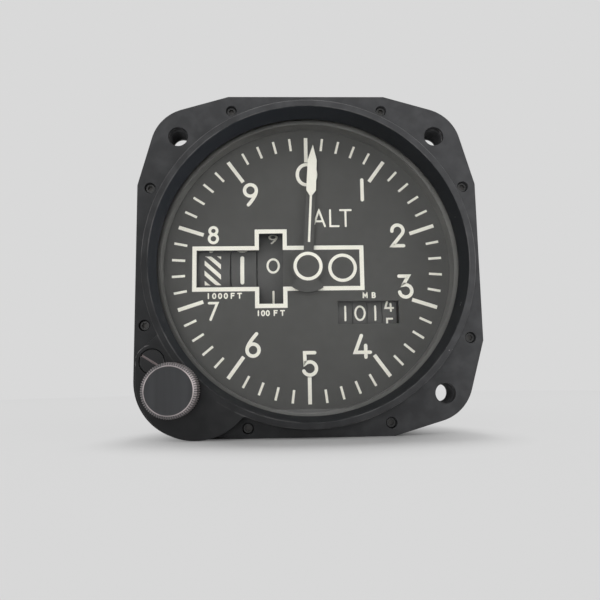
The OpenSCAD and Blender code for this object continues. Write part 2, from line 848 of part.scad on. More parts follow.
module knob_seal() {
  color("black") difference() {
    rod_y(knob_at, knob_shaft_r + seal_w, plate_t - seal_l, plate_t);
    rod_y(knob_at, knob_shaft_r + run, 0, plate_t + 1);
  }
}

module knob_pinion() {
  color("goldenrod") translate([knob_at[0], 0, knob_at[1]])
    slab(setting_y - 0.2, setting_y + setting_t + 0.2) difference() {
      gear2d(knob_n, knob_m, knob_dir);
      circle(knob_shaft_r);
    }
}

module idler_gear() {
  color("goldenrod") translate([idler_at[0], 0, idler_at[1]])
    slab(setting_y, setting_y + setting_t) difference() {
      gear2d(knob_n, knob_m, mate(knob_dir, knob_dir, knob_n, knob_n));
      circle(shaft_r);
    }
}

module idler_shaft() {
  color("silver") rod_y(idler_at, shaft_r, dial_back + slack, main_back + 0.5);
}

module idler_bevel() {
  color("goldenrod") translate([idler_at[0], baro_y + mitre_r, idler_at[1]])
    rotate([90, 0, 0]) mitre(0);
}

module cross_shaft() {
  color("silver") rod_x(baro_y, idler_at[1], shaft_r, idler_at[0] + mitre_in + 0.1, cross_x + 2);
}

module cross_bevel() {
  color("goldenrod") translate([idler_at[0] + mitre_r, baro_y, idler_at[1]])
    rotate([0, -90, 0]) mitre(90 + 180 / mitre_n);
}

module cross_gear() {
  color("goldenrod") translate([cross_x, baro_y, idler_at[1]]) rotate([90, 0, 90])
    linear_extrude(height = cross_t) difference() {
      gear2d(cross_n, cross_m, 90);
      circle(shaft_r);
    }
}

module cross_bracket() {
  color("silver")
    cheeks(baro_y, idler_at[1], setting_cheek,
      idler_at[0] + mitre_r + 2 * cheek_t, cross_x - 2 * cheek_t, cheek_t);
}

module dial_pillars() {
  color("silver") at_dirs(dial_pillar_dirs, dial_pillar_at)
    rod_y([0, 0], dial_pillar_r, dial_back, main_y);
}

module main_plate() {
  color("silver") slab(main_y, main_back) difference() {
    circle(bore_r - fit);
    for (p = [[0, 0], first_at, second_at, rock_at, idler_at]) translate(p)
      circle(shaft_r + run);
  }
}

module wheel(at, y, phase) {
  color("goldenrod") translate([at[0], 0, at[1]]) slab(y, y + wheel_t) difference() {
    gear2d(wheel_n, train_m, phase);
    circle(shaft_r);
    for (a = [0, 60, 120, 180, 240, 300]) rotate(a)
      translate([wheel_n * train_m * 0.29, 0]) circle(wheel_n * train_m * 0.11);
  }
}

module arbor(at, y, phase) {
  color("silver") {
    rod_y(at, shaft_r, main_y + 0.5, rear_back - 0.5);
    translate([at[0], 0, at[1]]) slab(y - 0.8, y - 0.8 + pinion_t)
      gear2d(pinion_n, train_m, phase);
  }
}

module first_wheel() {
  wheel(first_at, first_y, wheel_phase);
}

module first_arbor() {
  arbor(first_at, second_y, second_dir);
}

module second_wheel() {
  wheel(second_at, second_y, second_phase);
}

module second_arbor() {
  arbor(second_at, third_y, -90);
}

module sector_gear() {
  step = 360 / sector_n;
  r = sector_n * train_m / 2 - sector_rim;
  first = ceil((36 - sector_phase) / step);
  last = floor((99 - sector_phase) / step);
  a0 = sector_phase + (first - 0.4) * step;
  a1 = sector_phase + (last + 0.4) * step;
  color("goldenrod") translate([rock_at[0], 0, rock_at[1]]) slab(third_y, third_y + wheel_t)
    difference() {
      union() {
        circle(sector_hub_r);
        polygon([
          [0, 0],
          for (i = [first:last]) each tooth(sector_n, train_m, sector_phase + i * step)
        ]);
      }
      circle(shaft_r);
      polygon([
        for (a = [a0 + 9 : (a1 - a0 - 18) / 8 : a1 - 8.9]) r * [cos(a), sin(a)],
        for (a = [a1 - 14 : -(a1 - a0 - 28) / 4 : a0 + 13.9]) sector_hole_r * [cos(a), sin(a)]
      ]);
    }
}

module rocking_shaft() {
  back = capsule_y - bridge_t;
  color("silver") {
    rod_y(rock_at, shaft_r, main_y + 0.5, back);
    slab(back - bridge_t, back) {
      translate(rock_at) circle(shaft_r + 1.2);
      translate(rock_at) rotate(arm_rest) translate([0, -1.2]) square([arm_l, 2.4]);
      translate(yoke_pin) circle(pin_r + 0.7);
    }
    rod_y(yoke_pin, pin_r, back - eps, capsule_y + 2 * pin_r);
  }
}

module frame_pillars() {
  color("silver") at_dirs(frame_pillar_dirs, frame_pillar_at)
    rod_y([0, 0], frame_pillar_r, main_back, rear_y);
}

module rear_plate() {
  color("silver") slab(rear_y, rear_back) difference() {
    circle(rear_bore_r - slack - fit);
    for (p = [first_at, second_at, rock_at]) translate(p) circle(shaft_r + run);
  }
}

module capsule_link() {
  z = yoke_pin[1];
  color("silver") translate([capsule_x, capsule_y, 0]) {
    difference() {
      block(-yoke_half_w, yoke_half_w, -1.2, 1.2, z - yoke_half_h, z + yoke_half_h);
      block(yoke_wall - yoke_half_w, yoke_half_w - yoke_wall, -2, 2, z - pin_r - fit, z + pin_r + fit);
    }
    translate([0, 0, capsule_top])
      cylinder(r = shaft_r, h = z - yoke_half_h - capsule_top + eps);
  }
}

// Half outline of one corrugated capsule from its boss to its rim
function corrugation(h) = [
  for (i = [0:4]) [
    capsule_boss_r + (capsule_r - capsule_boss_r - 1) * i / 5,
    h * (i == 0 ? 0.58 : i % 2 == 1 ? 0.69 : 0.47)
  ]
];

module capsules() {
  h = capsule_h / 2;
  wave = corrugation(h);
  color("peru") translate([capsule_x, capsule_y, shelf_z]) for (i = [0, 1])
    translate([0, 0, i * capsule_h]) rotate_extrude() polygon([
      [0, 0], [capsule_boss_r, 0], for (p = wave) [p[0], h - p[1]],
      [capsule_r - 1, h * 0.85], [capsule_r, h * 0.85], [capsule_r, h * 1.15],
      [capsule_r - 1, h * 1.15], for (k = [4:-1:0]) [wave[k][0], h + wave[k][1]],
      [capsule_boss_r, capsule_h], [0, capsule_h]
    ]);
}

module capsule_bridge() {
  color("silver") {
    block(capsule_x - bridge_half_w, capsule_x + bridge_half_w,
      rear_back, capsule_y + bridge_reach, shelf_z - bridge_t, shelf_z);
    block(capsule_x - bridge_half_w, capsule_x + bridge_half_w,
      rear_back, rear_back + 1.6, shelf_z - eps, shelf_z + bridge_rise);
  }
}

module knob_house2d(r) {
  translate(knob_at) circle(r);
  rotate(knob_dir + 180) translate([rear_bore_r - over, tuck - r])
    square([diag - rear_bore_r + over, 2 * (r - tuck)]);
}

module case() {
  house_back = pocket_y + 1.8;
  color("dimgray") difference() {
    union() {
      slab(plate_t, flange_back) flange2d();
      rod_y([0, 0], case_r, plate_t + 1, case_end);
      slab(plate_t + 1, house_back) knob_house2d(pocket_r + 1.6);
    }
    rod_y([0, 0], bore_r, plate_t - 1, main_back);
    rod_y([0, 0], rear_bore_r, main_back - 1, case_end + 1);
    slab(flange_back, pocket_y) knob_house2d(pocket_r);
    rod_y(knob_at, knob_shaft_r + run, plate_t - 1, pocket_y + 1.1);
    slab(plate_t - 1, flange_back + 1) holes2d();
    for (p = plate_screws) rod_y(p, shank_r, plate_t - 1, flange_back - 0.5);
    at_dirs(cover_screw_dirs, cover_screw_r)
      rod_y([0, 0], cover_shank_r, case_end - cover_hole_l, case_end + 1);
  }
}

module rear_seal() {
  color("black") slab(case_end, cover_y) difference() {
    circle(case_r);
    circle(rear_bore_r);
    for (a = cover_screw_dirs) rotate(a) translate([cover_screw_r, 0])
      circle(cover_shank_r + run);
  }
}

module plug_corners2d(r) {
  for (x = [-1, 1], z = [-1, 1]) translate(plug_at + plug_screw * [x, z]) circle(r);
}

module rear_cover() {
  color("dimgray") slab(cover_y, cover_back) difference() {
    circle(case_r);
    for (a = cover_screw_dirs) rotate(a) translate([cover_screw_r, 0])
      circle(cover_shank_r + run);
    translate(port_at) circle(d = port_d - 2);
    translate(plug_at) circle(plug_r - plug_wall - 1);
    plug_corners2d(cover_shank_r + run);
  }
}

// Slotted screw with its head on the plane at one depth and its end at another
module slotted(head_y, end_y) {
  difference() {
    union() {
      rod_y([0, 0], cover_head_r, head_y, head_y + cover_head_t);
      rod_y([0, 0], cover_shank_r, end_y, head_y + eps);
    }
    block(-cover_head_r - 1, cover_head_r + 1, head_y + cover_head_t / 2,
      head_y + cover_head_t + 1, -slot_w / 2, slot_w / 2);
  }
}

module cover_screws() {
  color("gray") {
    at_dirs(cover_screw_dirs, cover_screw_r) slotted(cover_back, case_end - cover_screw_l);
    for (x = [-1, 1], z = [-1, 1])
      translate([plug_at[0] + x * plug_screw, 0, plug_at[1] + z * plug_screw])
        slotted(cover_back + plug_flange_t, cover_y);
  }
}

module static_fitting() {
  color("silver") difference() {
    union() {
      translate([port_at[0], 0, port_at[1]]) slab(cover_back, cover_back + port_hex_l)
        circle(port_hex_r, $fn = 6);
      rod_y(port_at, port_d / 2 + port_wall, cover_back + port_hex_l - 0.1, cover_back + port_l);
    }
    rod_y(port_at, port_d / 2, cover_back - 1, cover_back + port_l + 1);
  }
}

module connector_shell() {
  color("dimgray") difference() {
    union() {
      slab(cover_back, cover_back + plug_flange_t) difference() {
        union() {
          translate(plug_at) square([2 * plug_half, 2 * plug_screw], center = true);
          translate(plug_at) square([2 * plug_screw, 2 * plug_half], center = true);
          plug_corners2d(plug_corner_r);
        }
        plug_corners2d(cover_shank_r + run);
      }
      rod_y(plug_at, plug_r, cover_back + 1, cover_back + plug_l);
      translate([plug_at[0], cover_back + plug_l - lug_inset, plug_at[1]])
        for (a = lug_dirs) rotate([0, a, 0])
          rod_x(0, 0, lug_r, plug_r - plug_wall / 2, plug_r + lug_h);
    }
    rod_y(plug_at, plug_r - plug_wall, cover_back - 1, cover_back + plug_l + 1);
  }
}

module connector_insert() {
  color("black") rod_y(plug_at, plug_r - plug_wall, cover_back, cover_back + insert_t);
}

module connector_pins() {
  color("gold") for (a = [0:45:315])
    rod_y(plug_at + pin_circle_r * [cos(a), sin(a)], plug_pin_r,
      cover_back + insert_t, cover_back + plug_l - pin_inset);
}

bezel();
bezel_screws();
lock_screw();
glass_seal();
window_glass();
glass_retainer();
dial();
dial_markings();
pointer();
pointer_paint();
pointer_shaft();
pointer_bevel();
pointer_pinion();
pointer_bush();
hundreds_drum();
thousands_drum();
ten_thousands_drum();
drum_shaft();
drum_bevel();
counter_frame();
baro_units_drum();
baro_tens_drum();
baro_hundreds_drum();
baro_thousands_drum();
baro_drum_shaft();
baro_drum_gear();
baro_frame();
baro_knob();
knob_shaft();
knob_seal();
knob_pinion();
idler_gear();
idler_shaft();
idler_bevel();
cross_shaft();
cross_bevel();
cross_gear();
cross_bracket();
dial_pillars();
main_plate();
first_wheel();
first_arbor();
second_wheel();
second_arbor();
sector_gear();
rocking_shaft();
frame_pillars();
rear_plate();
capsule_link();
capsules();
capsule_bridge();
case();
rear_seal();
rear_cover();
cover_screws();
static_fitting();
connector_shell();
connector_insert();
connector_pins();
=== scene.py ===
"""Looks of the aircraft altimeter: finishes, printed figures, threads, light and camera."""

import json
import math

import bmesh
import bpy
from mathutils import Matrix, Vector


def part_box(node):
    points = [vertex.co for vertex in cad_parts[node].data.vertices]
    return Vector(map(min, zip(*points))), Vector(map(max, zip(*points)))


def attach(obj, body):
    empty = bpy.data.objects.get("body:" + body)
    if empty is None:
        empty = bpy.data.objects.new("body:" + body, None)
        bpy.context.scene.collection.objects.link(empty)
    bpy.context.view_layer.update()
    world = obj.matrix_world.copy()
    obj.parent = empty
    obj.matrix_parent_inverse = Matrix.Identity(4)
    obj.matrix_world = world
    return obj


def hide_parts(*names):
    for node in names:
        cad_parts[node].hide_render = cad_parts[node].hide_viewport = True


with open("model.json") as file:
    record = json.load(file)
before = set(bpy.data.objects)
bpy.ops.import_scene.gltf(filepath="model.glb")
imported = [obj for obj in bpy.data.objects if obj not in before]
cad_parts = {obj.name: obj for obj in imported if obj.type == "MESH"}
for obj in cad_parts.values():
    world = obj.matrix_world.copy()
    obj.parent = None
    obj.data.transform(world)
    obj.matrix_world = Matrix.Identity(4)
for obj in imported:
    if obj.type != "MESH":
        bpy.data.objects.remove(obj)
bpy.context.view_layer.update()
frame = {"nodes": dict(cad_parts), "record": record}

MM = 0.001


def middle(node):
    """Centre of a solid's box, in millimetres."""
    low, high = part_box(node)
    return (low + high) / 2 / MM


def half_size(node):
    """Half the sides of a solid's box, in millimetres."""
    low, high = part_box(node)
    return (high - low) / 2 / MM


# Places and sizes shared with the solids, in millimetres
DIAL_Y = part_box("dial")[0].y / MM
DRUM_Y = middle("hundreds_drum").y
DRUM_R = half_size("hundreds_drum").z
BARO_Y = middle("baro_units_drum").y
BARO_Z = middle("baro_units_drum").z
BARO_R = half_size("baro_units_drum").z
KNOB_AT = middle("baro_knob")
KNOB_R = half_size("baro_knob").z
KNOB_FACE_R = 5.35
KNURL_N = 72
LOCK_AT = middle("lock_screw")
LOCK_TURN = 32
LOCK_SLOT = 0.4
BOSS_RIM = 3.7
SCREW_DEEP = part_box("bezel_screws")[0].y / MM
RING_R = 38.9
RING_IN_R = 37.3
RING_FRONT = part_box("bezel")[0].y / MM
FLOOR_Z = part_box("bezel")[0].z / MM
COVER_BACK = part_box("rear_cover")[1].y / MM
COVER_R = half_size("rear_cover").x
PORT_AT = middle("static_fitting")
PORT_R = 3.0
MOUNT = 62.87 / 2
MOUNT_R = 4.75 / 2
FLANGE_BACK = 8.5

# Height of printed ink, and of each further stroke of a figure over the one before
PRINT = 0.04
OVERPRINT = 0.004


# Node graphs

PLAIN_VECTORS = ("ADD", "SUBTRACT", "MULTIPLY")


class Graph:
    """Short calls for the nodes of a material or of the world."""

    def __init__(self, owner):
        owner.use_nodes = True
        self.nodes = owner.node_tree.nodes
        self.links = owner.node_tree.links

    def feed(self, source, socket):
        """Links a socket, or sets a constant."""
        if isinstance(source, bpy.types.NodeSocket):
            self.links.new(source, socket)
        else:
            socket.default_value = source

    def coords(self, kind):
        return self.nodes.new("ShaderNodeTexCoord").outputs[kind]

    def vector(self, operation, first, second=None):
        """A vector sum, or a number for operations such as LENGTH."""
        node = self.nodes.new("ShaderNodeVectorMath")
        node.operation = operation
        self.links.new(first, node.inputs[0])
        if second is not None:
            self.feed(second, node.inputs[1])
        return node.outputs["Vector" if operation in PLAIN_VECTORS else "Value"]

    def math(self, operation, first, second=0.0):
        node = self.nodes.new("ShaderNodeMath")
        node.operation = operation
        self.links.new(first, node.inputs[0])
        self.feed(second, node.inputs[1])
        return node.outputs[0]

    def times(self, first, *others):
        for other in others:
            first = self.math("MULTIPLY", first, other)
        return first

    def most(self, first, *others):
        for other in others:
            first = self.math("MAXIMUM", first, other)
        return first

    def ramp(self, value, low, high, out_low=0.0, out_high=1.0, interpolation="LINEAR"):
        """A value between two limits, mapped to a range and held at its ends."""
        node = self.nodes.new("ShaderNodeMapRange")
        node.interpolation_type = interpolation
        node.inputs["From Min"].default_value = low
        node.inputs["From Max"].default_value = high
        node.inputs["To Min"].default_value = out_low
        node.inputs["To Max"].default_value = out_high
        self.links.new(value, node.inputs["Value"])
        return node.outputs["Result"]

    def ray(self, kind):
        """1 for rays of one kind."""
        return self.nodes.new("ShaderNodeLightPath").outputs[f"Is {kind} Ray"]

    def seen_directly(self):
        """1 for rays from the camera, from gloss and through glass."""
        return self.most(self.ray("Camera"), self.ray("Glossy"), self.ray("Transmission"))

    def mix(self, share, first, second):
        """A shader between two, by the second's share."""
        node = self.nodes.new("ShaderNodeMixShader")
        self.links.new(share, node.inputs["Fac"])
        self.links.new(first, node.inputs[1])
        self.links.new(second, node.inputs[2])
        return node.outputs["Shader"]


class Finish(Graph):
    """A Principled material under construction, in object coordinates."""

    def __init__(self, name, color, rough, metal=0.0):
        self.mat = bpy.data.materials.new(name)
        super().__init__(self.mat)
        self.shader = self.nodes["Principled BSDF"]
        self.shader.inputs["Base Color"].default_value = (*color, 1)
        self.shader.inputs["Roughness"].default_value = rough
        self.shader.inputs["Metallic"].default_value = metal
        self.place = self.coords("Object")

    def noise(self, scale, detail=4.0, stretch=None):
        """Noise with this many waves in a metre, finer along stretched axes."""
        tex = self.nodes.new("ShaderNodeTexNoise")
        tex.inputs["Scale"].default_value = scale
        tex.inputs["Detail"].default_value = detail
        source = self.vector("MULTIPLY", self.place, stretch) if stretch else self.place
        self.links.new(source, tex.inputs["Vector"])
        return tex.outputs["Fac"]

    def mottle(self, scale, out_low=0.0, out_high=1.0, detail=4.0, stretch=None):
        """Noise spread over a range."""
        return self.ramp(self.noise(scale, detail, stretch), 0.3, 0.7, out_low, out_high)

    def along(self, direction, origin=(0, 0, 0)):
        """Distance from a point along a direction, in millimetres."""
        offset = self.vector("SUBTRACT", self.place, tuple(c * MM for c in origin))
        return self.vector("DOT_PRODUCT", offset, tuple(c / MM for c in direction))

    def radius(self, x=0.0, z=0.0):
        """Distance from a line parallel to the dial axis, in millimetres."""
        offset = self.vector("SUBTRACT", self.place, (x * MM, 0, z * MM))
        return self.vector("LENGTH", self.vector("MULTIPLY", offset, (1 / MM, 0, 1 / MM)))

    def band(self, value, centre, half, soft):
        """1 within half of a centre value, fading out over a soft width."""
        off = self.math("ABSOLUTE", self.math("SUBTRACT", value, centre))
        return self.ramp(off, half + soft, half)

    def edges(self, radius):
        """1 where the surface turns within this radius, 0 on flats."""
        bevel = self.nodes.new("ShaderNodeBevel")
        bevel.samples = 8
        bevel.inputs["Radius"].default_value = radius * MM
        geometry = self.nodes.new("ShaderNodeNewGeometry")
        facing = self.vector("DOT_PRODUCT", bevel.outputs["Normal"], geometry.outputs["Normal"])
        return self.ramp(facing, 0.97, 0.72)

    def blend(self, mask, first, second):
        """A colour between two, each a colour or a socket."""
        node = self.nodes.new("ShaderNodeMix")
        node.data_type = "RGBA"
        self.links.new(mask, node.inputs["Factor"])
        for source, socket in ((first, node.inputs[6]), (second, node.inputs[7])):
            self.feed((*source, 1) if isinstance(source, tuple) else source, socket)
        return node.outputs[2]

    def base(self):
        return self.shader.inputs["Base Color"].links[0].from_socket

    def color(self, source):
        self.links.new(source, self.shader.inputs["Base Color"])

    def rough(self, source):
        self.links.new(source, self.shader.inputs["Roughness"])

    def metal(self, source):
        self.links.new(source, self.shader.inputs["Metallic"])

    def bump(self, height, depth, strength):
        node = self.nodes.new("ShaderNodeBump")
        node.inputs["Strength"].default_value = strength
        node.inputs["Distance"].default_value = depth * MM
        self.links.new(height, node.inputs["Height"])
        self.links.new(node.outputs["Normal"], self.shader.inputs["Normal"])


# Finishes

DEEP_BLACK = (0.0115, 0.0118, 0.0125)
# Lighter end of the painted sheen on the bezel, towards the upper right
SHEEN_BLACK = (0.0425, 0.043, 0.045)
# Painted shade on the ring's inner wall, and its bluish painted reflection to the upper left
WALL_SHADE_BLACK = (0.013, 0.0145, 0.0165)
WALL_SHEEN_BLUE = (0.024, 0.028, 0.035)
SCREW_BLACK = (0.038, 0.038, 0.038)
SCREW_DUST = (0.06, 0.058, 0.056)
SLOT_BARE = (0.24, 0.2, 0.2)
KNOB_BLACK = (0.028, 0.029, 0.031)
# Bare metal of the knob's rim, also the colour of its painted highlights
KNOB_BARE_AND_GLINT = (0.56, 0.5, 0.5)
# Rubbed paint, and the colour of the painted highlights on the ring's edges
RUBBED_AND_HIGHLIGHT = (0.25, 0.24, 0.24)
CREAM = (0.9, 0.885, 0.785)


def shade(color, k):
    return tuple(c * k for c in color)


def paint(name, color, rough, vary=0.12, grain=2600, depth=0.02):
    """Matt or satin paint with a fine grain and faint mottling."""
    f = Finish(name, color, rough)
    f.color(f.blend(f.mottle(140), shade(color, 1 - vary), shade(color, 1 + vary)))
    f.rough(f.mottle(420, rough - 0.06, rough + 0.06))
    f.bump(f.noise(grain, 2.0), depth, 0.35)
    return f


def worn_paint(name, color, rough, under, radius=0.3):
    """Paint that is rubbed through along edges and has a few small chips."""
    f = paint(name, color, rough)
    rub = f.times(f.edges(radius), f.ramp(f.noise(620, 6.0), 0.52, 0.66))
    chip = f.ramp(f.noise(330, 3.0), 0.765, 0.785)
    f.color(f.blend(chip, f.blend(rub, f.base(), under), shade(under, 1.3)))
    return f


def faded_black(f, front):
    """Painted sheen and shade on black: lighter to the upper right, where the light falls, and
    darker to the lower left on the boss, where the knob's shade falls; mottled lighter patches grow
    towards the upper right.
    """
    # Painted sheen: the black turns lighter along this line towards the upper right, where the
    # light falls
    place = f.math("ADD", f.along((0.8, 0, 0.6)), f.mottle(150, -5, 5))
    # Painted shade: the fronts of ring and boss stay darker than the flange behind them
    dark_end_with_shade = f.blend(front, shade(DEEP_BLACK, 1.6), DEEP_BLACK)
    black = f.blend(f.ramp(place, -42, 26), dark_end_with_shade, SHEEN_BLACK)
    scuff = f.times(f.ramp(f.noise(300, 8.0), 0.42, 0.68), f.ramp(place, -30, 20, 0.08, 0.75))
    return f.blend(scuff, black, shade(SHEEN_BLACK, 1.45))


def bezel_rub(f, r, front):
    """1 where the colour turns to rubbed grey: light lines along the ring's edges, painted
    highlights that also stand for worn paint; rubbed corners; and a lighter arc on the upper left
    of the rim round the lock screw.
    """
    # Painted highlight along the ring's outer and inner front edges, also standing for worn paint
    ring_edge_wear_and_highlight = f.most(
        f.band(r, RING_R - 0.06, 0.1, 0.08),
        f.band(r, RING_IN_R + 0.1, 0.07, 0.08),
    )
    ring_edge_wear_and_highlight = f.times(ring_edge_wear_and_highlight, front, f.ramp(f.noise(75, 5.0), 0.45, 0.68), 0.3)
    corners = f.times(f.edges(0.2), f.ramp(f.noise(700, 6.0), 0.5, 0.62), 0.6)
    rim = f.band(f.radius(LOCK_AT.x, LOCK_AT.z), BOSS_RIM, 0.07, 0.06)
    upper_left = f.ramp(f.along((-0.85, 0, 0.53), LOCK_AT), 2.4, 3.3)
    rim = f.times(rim, front, upper_left, f.ramp(f.noise(520, 4.0), 0.36, 0.5))
    return f.most(ring_edge_wear_and_highlight, corners, rim)


def bezel_paint(name):
    """Satin black with painted light: shade on the boss, sheen to the upper right, and inside the
    ring a painted shade with a bluish painted reflection.
    """
    f = Finish(name, DEEP_BLACK, 0.5)
    f.shader.inputs["Specular IOR Level"].default_value = 0.3
    r = f.radius()
    front = f.ramp(f.along((0, -1, 0)), -RING_FRONT - 0.5, -RING_FRONT - 0.3)
    inside = f.times(f.ramp(r, RING_IN_R + 0.06, RING_IN_R), f.ramp(f.along((0, 1, 0)), 4.5, 3.5))
    # Painted shade darkens the ring's inner wall; a bluish painted reflection lightens it towards
    # the upper left
    shaded_wall = f.blend(f.ramp(f.along((-0.85, 0, 0.5)), 0, 42), WALL_SHADE_BLACK, WALL_SHEEN_BLUE)
    coat_with_painted_light = f.blend(inside, faded_black(f, front), shaded_wall)
    worn = f.blend(bezel_rub(f, r, front), coat_with_painted_light, RUBBED_AND_HIGHLIGHT)
    chip = f.ramp(f.noise(330, 3.0), 0.75, 0.77)
    f.color(f.blend(chip, worn, shade(RUBBED_AND_HIGHLIGHT, 1.4)))
    f.rough(f.ramp(inside, 0, 1, 0.5, 0.6))
    f.bump(f.noise(2400, 2.0), 0.02, 0.35)
    return f


def lock_paint(name):
    """Black screw with a bright worn slot."""
    f = worn_paint(name, DEEP_BLACK, 0.45, RUBBED_AND_HIGHLIGHT, 0.15)
    a = math.radians(LOCK_TURN)
    across = f.along((math.sin(a), 0, math.cos(a)), LOCK_AT)
    slot = f.band(across, 0.0, LOCK_SLOT / 2 + 0.01, 0.02)
    f.color(f.blend(slot, f.base(), SLOT_BARE))
    return f


def screw_paint(name):
    """Painted screw with dust in its socket."""
    f = paint(name, SCREW_BLACK, 0.55)
    socket = f.ramp(f.along((0, 1, 0)), SCREW_DEEP + 0.05, SCREW_DEEP + 0.2)
    f.color(f.blend(socket, f.base(), SCREW_DUST))
    return f


def knob_finish(name):
    """Black anodised face; warm bare metal on the knurled rim, worn at the tooth tips and at the
    face's edge, and painted as highlights towards the right and at the sides.
    """
    f = Finish(name, KNOB_BLACK, 0.5)
    brush = f.mottle(110, stretch=(9.0, 1.0, 0.5))
    black = f.blend(brush, shade(KNOB_BLACK, 0.85), shade(KNOB_BLACK, 1.15))
    across = f.along((1, 0, 0), KNOB_AT)
    angle = f.math("ARCTAN2", f.along((0, 0, 1), KNOB_AT), across)
    # Alternating from tooth to tooth: worn tips that also stand for the teeth's glints
    tooth_wear_and_glints = f.ramp(f.math("COSINE", f.times(angle, KNURL_N)), -0.4, 0.6, 0.15, 1.0)
    # Painted highlights: more bare rim at the left and right sides and towards the right, where
    # light falls
    sides = f.ramp(f.math("ABSOLUTE", across), 1, KNOB_R, 0.55, 1.0)
    right = f.ramp(f.along((0.9, 0, 0.4), KNOB_AT), -KNOB_R, KNOB_R, 0.4, 0.9)
    patch_and_side_glints = f.times(f.ramp(f.noise(260), 0.32, 0.55, 0.4, 1.0), sides)
    r = f.radius(KNOB_AT.x, KNOB_AT.z)
    rim = f.times(f.ramp(r, KNOB_FACE_R - 0.15, KNOB_FACE_R + 0.2), tooth_wear_and_glints, patch_and_side_glints, right)
    # Light line round the face's edge: worn edge and painted highlight
    line = f.times(f.band(r, KNOB_FACE_R, 0.06, 0.1), f.ramp(patch_and_side_glints, 0.25, 0.75, 0.35, 1.0))
    rub = f.most(rim, line)
    f.color(f.blend(rub, black, KNOB_BARE_AND_GLINT))
    f.metal(f.ramp(rub, 0.2, 0.8, 0.0, 0.6))
    f.rough(f.mottle(420, 0.36, 0.5))
    return f


def metal(name, color, rough, grain=(1, 20, 1)):
    """Bare metal with drawn lines."""
    f = Finish(name, color, rough, 1.0)
    lines = f.mottle(90, detail=3.0, stretch=grain)
    f.color(f.blend(lines, shade(color, 0.86), shade(color, 1.08)))
    f.rough(f.ramp(lines, 0, 1, rough - 0.07, rough + 0.1))
    f.bump(f.noise(1800, 2.0), 0.008, 0.2)
    return f


def clear_glass(name):
    """Clear glass that lets lamp light through to the dial."""
    f = Finish(name, (1, 1, 1), 0.0)
    f.shader.inputs["Transmission Weight"].default_value = 1.0
    f.shader.inputs["IOR"].default_value = 1.5
    through = f.nodes.new("ShaderNodeBsdfTransparent").outputs["BSDF"]
    surface = f.mix(f.ray("Shadow"), f.shader.outputs["BSDF"], through)
    f.links.new(surface, f.nodes["Material Output"].inputs["Surface"])
    return f


FINISHES = {
    "black_paint": worn_paint("black_paint", (0.035, 0.0355, 0.037), 0.5, RUBBED_AND_HIGHLIGHT),
    "glass": clear_glass("glass"),
    "rubber": paint("rubber", (0.015, 0.015, 0.015), 0.75),
    "matt_black": paint("matt_black", (0.022, 0.022, 0.023), 0.7),
    "dial_grey": paint("dial_grey", (0.07, 0.07, 0.0665), 0.75, 0.05, 5200, 0.008),
    "cream_paint": paint("cream_paint", CREAM, 0.7, 0.03, 5200, 0.01),
    "brass": metal("brass", (0.72, 0.55, 0.27), 0.32),
    "capsule_alloy": metal("capsule_alloy", (0.7, 0.47, 0.32), 0.3, (25, 25, 25)),
    "steel": metal("steel", (0.56, 0.56, 0.57), 0.3),
    "aluminium": metal("aluminium", (0.7, 0.7, 0.71), 0.38),
}
BEZEL = bezel_paint("bezel_black")
KNOB = knob_finish("knob_black")
LOCK = lock_paint("lock_black")
SCREWS = screw_paint("screw_black")
# Painted light: the retainer is dial grey, painted about three times lighter to cancel the shade
# the ring's lip casts on it
RETAINER_PAINTED_LIGHT = paint("retainer_grey_painted_light", (0.2, 0.2, 0.19), 0.7, 0.1, 3200, 0.01)
# Grey like the dial, painted a little lighter to offset the shade inside the windows
DRUMS = paint("drum_grey", (0.086, 0.086, 0.084), 0.7, 0.06, 3600, 0.008)


def give(obj, finish):
    """Makes a finish an object's only material."""
    obj.data.materials.clear()
    obj.data.materials.append(finish.mat)


# Solids take the finish of their slot, and a few have one of their own
slot_of = {s["node"]: s["material_slot"] for s in frame["record"]["subparts"]}
own_finish = {"lock_screw": LOCK, "bezel_screws": SCREWS, "glass_retainer": RETAINER_PAINTED_LIGHT}
for name, obj in frame["nodes"].items():
    if name.endswith("_drum"):
        own_finish[name] = DRUMS
    give(obj, own_finish.get(name, FINISHES[slot_of[name]]))


# Pieces

body_of = {n: b for b, ns in frame["record"]["behaviour"]["bodies"].items() for n in ns}


def piece(name, bm, body, slot, finish=None):
    """An object made of a mesh, smooth up to a sharp angle, that rides on a body."""
    mesh = bpy.data.meshes.new(name)
    bm.to_mesh(mesh)
    bm.free()
    for p in mesh.polygons:
        p.use_smooth = True
    mesh.set_sharp_from_angle(angle=math.radians(35))
    obj = bpy.data.objects.new(name, mesh)
    bpy.context.scene.collection.objects.link(obj)
    give(obj, finish or FINISHES[slot])
    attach(obj, body)
    return obj


def dressed(node, name, edge, finish=None, angle=32, beyond=0.0):
    """A copy of a solid in its place, with its sharp edges beyond a radius rounded."""
    bm = bmesh.new()
    bm.from_mesh(frame["nodes"][node].data)
    bmesh.ops.remove_doubles(bm, verts=bm.verts, dist=0.002 * MM)
    bmesh.ops.dissolve_limit(bm, angle_limit=math.radians(0.4), verts=bm.verts, edges=bm.edges)
    limit = math.radians(angle)
    sharp = [
        e
        for e in bm.edges
        if len(e.link_faces) == 2
        and e.calc_face_angle(0) > limit
        and min(math.hypot(v.co.x, v.co.z) for v in e.verts) >= beyond * MM
    ]
    bmesh.ops.bevel(
        bm,
        geom=sharp,
        offset=edge * MM,
        offset_type="OFFSET",
        segments=2,
        profile=0.5,
        affect="EDGES",
        clamp_overlap=False,
    )
    obj = piece(name, bm, body_of[node], slot_of[node], finish)
    flats = obj.modifiers.new("flats", "WEIGHTED_NORMAL")
    flats.keep_sharp = True
    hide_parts(node)


# Figures, drawn as strokes on a box one unit high: (points, closed)


